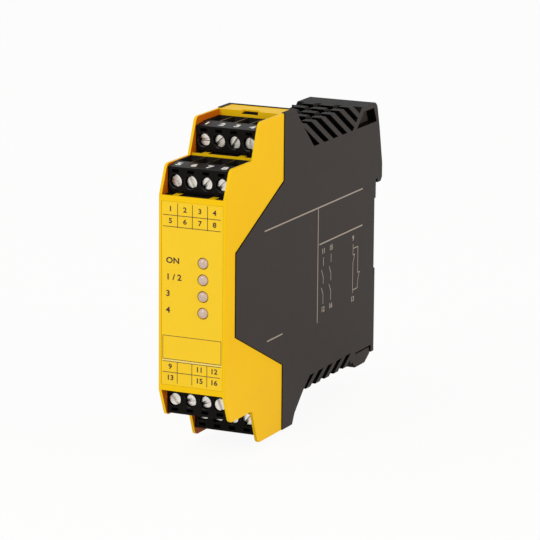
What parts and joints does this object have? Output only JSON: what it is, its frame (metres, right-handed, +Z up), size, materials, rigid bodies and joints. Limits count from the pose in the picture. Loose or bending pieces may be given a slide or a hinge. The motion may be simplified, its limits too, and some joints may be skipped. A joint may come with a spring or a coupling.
{
  "type": "safety relay module",
  "caption": "Slim rail-mounted safety relay with a stepped yellow cover, plug-in screw terminals, status lights, vent louvres and a sprung rail foot catch.",
  "frame": {"origin": "centre of the seat that rests on the mounting rail", "axes": "X across the width, Y from the front face back to the rail, Z up along the tall side"},
  "size_m": [0.0226, 0.1152, 0.0988],
  "materials": {
    "yellow_shell": "fine satin moulding",
    "black_shell": "fine satin moulding",
    "label_print": "printed film",
    "plug_black": "satin moulding",
    "header_black": "satin moulding",
    "screw_nickel": "nickel plated",
    "cage_brass": "plated",
    "contact_tin": "tin plated",
    "catch_black": "satin moulding",
    "spring_steel": "drawn wire",
    "board_green": "solder resist",
    "led_clear": "clear epoxy",
    "relay_case": "moulded case",
    "capacitor_can": "sleeved can"
  },
  "bodies": {
    "housing": {"front_cover": "yellow_shell", "front_label": "label_print", "rear_housing": "black_shell", "catch_spring": "spring_steel", "main_board": "board_green", "led_board": "board_green", "leds": "led_clear", "relay_k1": "relay_case", "relay_k2": "relay_case", "capacitors": "capacitor_can", "header_upper_front": "header_black", "header_upper_back": "header_black", "header_lower_front": "header_black", "header_lower_back": "header_black", "pins_upper_front": "contact_tin", "pins_upper_back": "contact_tin", "pins_lower_front": "contact_tin", "pins_lower_back": "contact_tin"},
    "foot_catch": {"foot_catch": "catch_black"},
    "plug_upper_front": {"plug_upper_front": "plug_black", "contacts_upper_front": "contact_tin"},
    "screw_upper_front_1": {"screw_upper_front_1": "screw_nickel"},
    "cage_upper_front_1": {"cage_upper_front_1": "cage_brass"},
    "screw_upper_front_2": {"screw_upper_front_2": "screw_nickel"},
    "cage_upper_front_2": {"cage_upper_front_2": "cage_brass"},
    "screw_upper_front_3": {"screw_upper_front_3": "screw_nickel"},
    "cage_upper_front_3": {"cage_upper_front_3": "cage_brass"},
    "screw_upper_front_4": {"screw_upper_front_4": "screw_nickel"},
    "cage_upper_front_4": {"cage_upper_front_4": "cage_brass"},
    "plug_upper_back": {"plug_upper_back": "plug_black", "contacts_upper_back": "contact_tin"},
    "screw_upper_back_1": {"screw_upper_back_1": "screw_nickel"},
    "cage_upper_back_1": {"cage_upper_back_1": "cage_brass"},
    "screw_upper_back_2": {"screw_upper_back_2": "screw_nickel"},
    "cage_upper_back_2": {"cage_upper_back_2": "cage_brass"},
    "screw_upper_back_3": {"screw_upper_back_3": "screw_nickel"},
    "cage_upper_back_3": {"cage_upper_back_3": "cage_brass"},
    "screw_upper_back_4": {"screw_upper_back_4": "screw_nickel"},
    "cage_upper_back_4": {"cage_upper_back_4": "cage_brass"},
    "plug_lower_front": {"plug_lower_front": "plug_black", "contacts_lower_front": "contact_tin"},
    "screw_lower_front_1": {"screw_lower_front_1": "screw_nickel"},
    "cage_lower_front_1": {"cage_lower_front_1": "cage_brass"},
    "screw_lower_front_2": {"screw_lower_front_2": "screw_nickel"},
    "cage_lower_front_2": {"cage_lower_front_2": "cage_brass"},
    "screw_lower_front_3": {"screw_lower_front_3": "screw_nickel"},
    "cage_lower_front_3": {"cage_lower_front_3": "cage_brass"},
    "screw_lower_front_4": {"screw_lower_front_4": "screw_nickel"},
    "cage_lower_front_4": {"cage_lower_front_4": "cage_brass"},
    "plug_lower_back": {"plug_lower_back": "plug_black", "contacts_lower_back": "contact_tin"},
    "screw_lower_back_1": {"screw_lower_back_1": "screw_nickel"},
    "cage_lower_back_1": {"cage_lower_back_1": "cage_brass"},
    "screw_lower_back_2": {"screw_lower_back_2": "screw_nickel"},
    "cage_lower_back_2": {"cage_lower_back_2": "cage_brass"},
    "screw_lower_back_3": {"screw_lower_back_3": "screw_nickel"},
    "cage_lower_back_3": {"cage_lower_back_3": "cage_brass"},
    "screw_lower_back_4": {"screw_lower_back_4": "screw_nickel"},
    "cage_lower_back_4": {"cage_lower_back_4": "cage_brass"}
  },
  "joints": [
    {"name": "catch_slide", "type": "slide", "parent": "housing", "child": "foot_catch", "axis": [0, 0, -1], "range_m": [0, 0.003], "stiffness_N_per_m": 400, "springref_m": -0.002, "deforming": ["catch_spring"]},
    {"name": "plug_upper_front_pull", "type": "slide", "parent": "housing", "child": "plug_upper_front", "axis": [0, -1, 0], "range_m": [0, 0.012]},
    {"name": "screw_upper_front_1_turn", "type": "hinge", "parent": "plug_upper_front", "child": "screw_upper_front_1", "pos_m": [-0.0075, -0.1028, 0.0339], "axis": [0, 1, 0], "range_deg": [0, 1340]},
    {"name": "cage_upper_front_1_rise", "type": "slide", "parent": "plug_upper_front", "child": "cage_upper_front_1", "axis": [0, -1, 0], "range_m": [0, 0.00186]},
    {"name": "screw_upper_front_2_turn", "type": "hinge", "parent": "plug_upper_front", "child": "screw_upper_front_2", "pos_m": [-0.0025, -0.1028, 0.0339], "axis": [0, 1, 0], "range_deg": [0, 1340]},
    {"name": "cage_upper_front_2_rise", "type": "slide", "parent": "plug_upper_front", "child": "cage_upper_front_2", "axis": [0, -1, 0], "range_m": [0, 0.00186]},
    {"name": "screw_upper_front_3_turn", "type": "hinge", "parent": "plug_upper_front", "child": "screw_upper_front_3", "pos_m": [0.0025, -0.1028, 0.0339], "axis": [0, 1, 0], "range_deg": [0, 1340]},
    {"name": "cage_upper_front_3_rise", "type": "slide", "parent": "plug_upper_front", "child": "cage_upper_front_3", "axis": [0, -1, 0], "range_m": [0, 0.00186]},
    {"name": "screw_upper_front_4_turn", "type": "hinge", "parent": "plug_upper_front", "child": "screw_upper_front_4", "pos_m": [0.0075, -0.1028, 0.0339], "axis": [0, 1, 0], "range_deg": [0, 1340]},
    {"name": "cage_upper_front_4_rise", "type": "slide", "parent": "plug_upper_front", "child": "cage_upper_front_4", "axis": [0, -1, 0], "range_m": [0, 0.00186]},
    {"name": "plug_upper_back_pull", "type": "slide", "parent": "housing", "child": "plug_upper_back", "axis": [0, -1, 0], "range_m": [0, 0.012]},
    {"name": "screw_upper_back_1_turn", "type": "hinge", "parent": "plug_upper_back", "child": "screw_upper_back_1", "pos_m": [-0.0075, -0.0841, 0.0431], "axis": [0, 1, 0], "range_deg": [0, 1340]},
    {"name": "cage_upper_back_1_rise", "type": "slide", "parent": "plug_upper_back", "child": "cage_upper_back_1", "axis": [0, -1, 0], "range_m": [0, 0.00186]},
    {"name": "screw_upper_back_2_turn", "type": "hinge", "parent": "plug_upper_back", "child": "screw_upper_back_2", "pos_m": [-0.0025, -0.0841, 0.0431], "axis": [0, 1, 0], "range_deg": [0, 1340]},
    {"name": "cage_upper_back_2_rise", "type": "slide", "parent": "plug_upper_back", "child": "cage_upper_back_2", "axis": [0, -1, 0], "range_m": [0, 0.00186]},
    {"name": "screw_upper_back_3_turn", "type": "hinge", "parent": "plug_upper_back", "child": "screw_upper_back_3", "pos_m": [0.0025, -0.0841, 0.0431], "axis": [0, 1, 0], "range_deg": [0, 1340]},
    {"name": "cage_upper_back_3_rise", "type": "slide", "parent": "plug_upper_back", "child": "cage_upper_back_3", "axis": [0, -1, 0], "range_m": [0, 0.00186]},
    {"name": "screw_upper_back_4_turn", "type": "hinge", "parent": "plug_upper_back", "child": "screw_upper_back_4", "pos_m": [0.0075, -0.0841, 0.0431], "axis": [0, 1, 0], "range_deg": [0, 1340]},
    {"name": "cage_upper_back_4_rise", "type": "slide", "parent": "plug_upper_back", "child": "cage_upper_back_4", "axis": [0, -1, 0], "range_m": [0, 0.00186]},
    {"name": "plug_lower_front_pull", "type": "slide", "parent": "housing", "child": "plug_lower_front", "axis": [0, -1, 0], "range_m": [0, 0.012]},
    {"name": "screw_lower_front_1_turn", "type": "hinge", "parent": "plug_lower_front", "child": "screw_lower_front_1", "pos_m": [-0.0075, -0.1028, -0.0325], "axis": [0, 1, 0], "range_deg": [0, 1340]},
    {"name": "cage_lower_front_1_rise", "type": "slide", "parent": "plug_lower_front", "child": "cage_lower_front_1", "axis": [0, -1, 0], "range_m": [0, 0.00186]},
    {"name": "screw_lower_front_2_turn", "type": "hinge", "parent": "plug_lower_front", "child": "screw_lower_front_2", "pos_m": [-0.0025, -0.1028, -0.0325], "axis": [0, 1, 0], "range_deg": [0, 1340]},
    {"name": "cage_lower_front_2_rise", "type": "slide", "parent": "plug_lower_front", "child": "cage_lower_front_2", "axis": [0, -1, 0], "range_m": [0, 0.00186]},
    {"name": "screw_lower_front_3_turn", "type": "hinge", "parent": "plug_lower_front", "child": "screw_lower_front_3", "pos_m": [0.0025, -0.1028, -0.0325], "axis": [0, 1, 0], "range_deg": [0, 1340]},
    {"name": "cage_lower_front_3_rise", "type": "slide", "parent": "plug_lower_front", "child": "cage_lower_front_3", "axis": [0, -1, 0], "range_m": [0, 0.00186]},
    {"name": "screw_lower_front_4_turn", "type": "hinge", "parent": "plug_lower_front", "child": "screw_lower_front_4", "pos_m": [0.0075, -0.1028, -0.0325], "axis": [0, 1, 0], "range_deg": [0, 1340]},
    {"name": "cage_lower_front_4_rise", "type": "slide", "parent": "plug_lower_front", "child": "cage_lower_front_4", "axis": [0, -1, 0], "range_m": [0, 0.00186]},
    {"name": "plug_lower_back_pull", "type": "slide", "parent": "housing", "child": "plug_lower_back", "axis": [0, -1, 0], "range_m": [0, 0.012]},
    {"name": "screw_lower_back_1_turn", "type": "hinge", "parent": "plug_lower_back", "child": "screw_lower_back_1", "pos_m": [-0.0075, -0.0841, -0.0417], "axis": [0, 1, 0], "range_deg": [0, 1340]},
    {"name": "cage_lower_back_1_rise", "type": "slide", "parent": "plug_lower_back", "child": "cage_lower_back_1", "axis": [0, -1, 0], "range_m": [0, 0.00186]},
    {"name": "screw_lower_back_2_turn", "type": "hinge", "parent": "plug_lower_back", "child": "screw_lower_back_2", "pos_m": [-0.0025, -0.0841, -0.0417], "axis": [0, 1, 0], "range_deg": [0, 1340]},
    {"name": "cage_lower_back_2_rise", "type": "slide", "parent": "plug_lower_back", "child": "cage_lower_back_2", "axis": [0, -1, 0], "range_m": [0, 0.00186]},
    {"name": "screw_lower_back_3_turn", "type": "hinge", "parent": "plug_lower_back", "child": "screw_lower_back_3", "pos_m": [0.0025, -0.0841, -0.0417], "axis": [0, 1, 0], "range_deg": [0, 1340]},
    {"name": "cage_lower_back_3_rise", "type": "slide", "parent": "plug_lower_back", "child": "cage_lower_back_3", "axis": [0, -1, 0], "range_m": [0, 0.00186]},
    {"name": "screw_lower_back_4_turn", "type": "hinge", "parent": "plug_lower_back", "child": "screw_lower_back_4", "pos_m": [0.0075, -0.0841, -0.0417], "axis": [0, 1, 0], "range_deg": [0, 1340]},
    {"name": "cage_lower_back_4_rise", "type": "slide", "parent": "plug_lower_back", "child": "cage_lower_back_4", "axis": [0, -1, 0], "range_m": [0, 0.00186]}
  ],
  "couplings": [
    {"joint": "screw_upper_front_1_turn", "follows": "cage_upper_front_1_rise", "rad_per_m": 12566},
    {"joint": "screw_upper_front_2_turn", "follows": "cage_upper_front_2_rise", "rad_per_m": 12566},
    {"joint": "screw_upper_front_3_turn", "follows": "cage_upper_front_3_rise", "rad_per_m": 12566},
    {"joint": "screw_upper_front_4_turn", "follows": "cage_upper_front_4_rise", "rad_per_m": 12566},
    {"joint": "screw_upper_back_1_turn", "follows": "cage_upper_back_1_rise", "rad_per_m": 12566},
    {"joint": "screw_upper_back_2_turn", "follows": "cage_upper_back_2_rise", "rad_per_m": 12566},
    {"joint": "screw_upper_back_3_turn", "follows": "cage_upper_back_3_rise", "rad_per_m": 12566},
    {"joint": "screw_upper_back_4_turn", "follows": "cage_upper_back_4_rise", "rad_per_m": 12566},
    {"joint": "screw_lower_front_1_turn", "follows": "cage_lower_front_1_rise", "rad_per_m": 12566},
    {"joint": "screw_lower_front_2_turn", "follows": "cage_lower_front_2_rise", "rad_per_m": 12566},
    {"joint": "screw_lower_front_3_turn", "follows": "cage_lower_front_3_rise", "rad_per_m": 12566},
    {"joint": "screw_lower_front_4_turn", "follows": "cage_lower_front_4_rise", "rad_per_m": 12566},
    {"joint": "screw_lower_back_1_turn", "follows": "cage_lower_back_1_rise", "rad_per_m": 12566},
    {"joint": "screw_lower_back_2_turn", "follows": "cage_lower_back_2_rise", "rad_per_m": 12566},
    {"joint": "screw_lower_back_3_turn", "follows": "cage_lower_back_3_rise", "rad_per_m": 12566},
    {"joint": "screw_lower_back_4_turn", "follows": "cage_lower_back_4_rise", "rad_per_m": 12566}
  ]
}
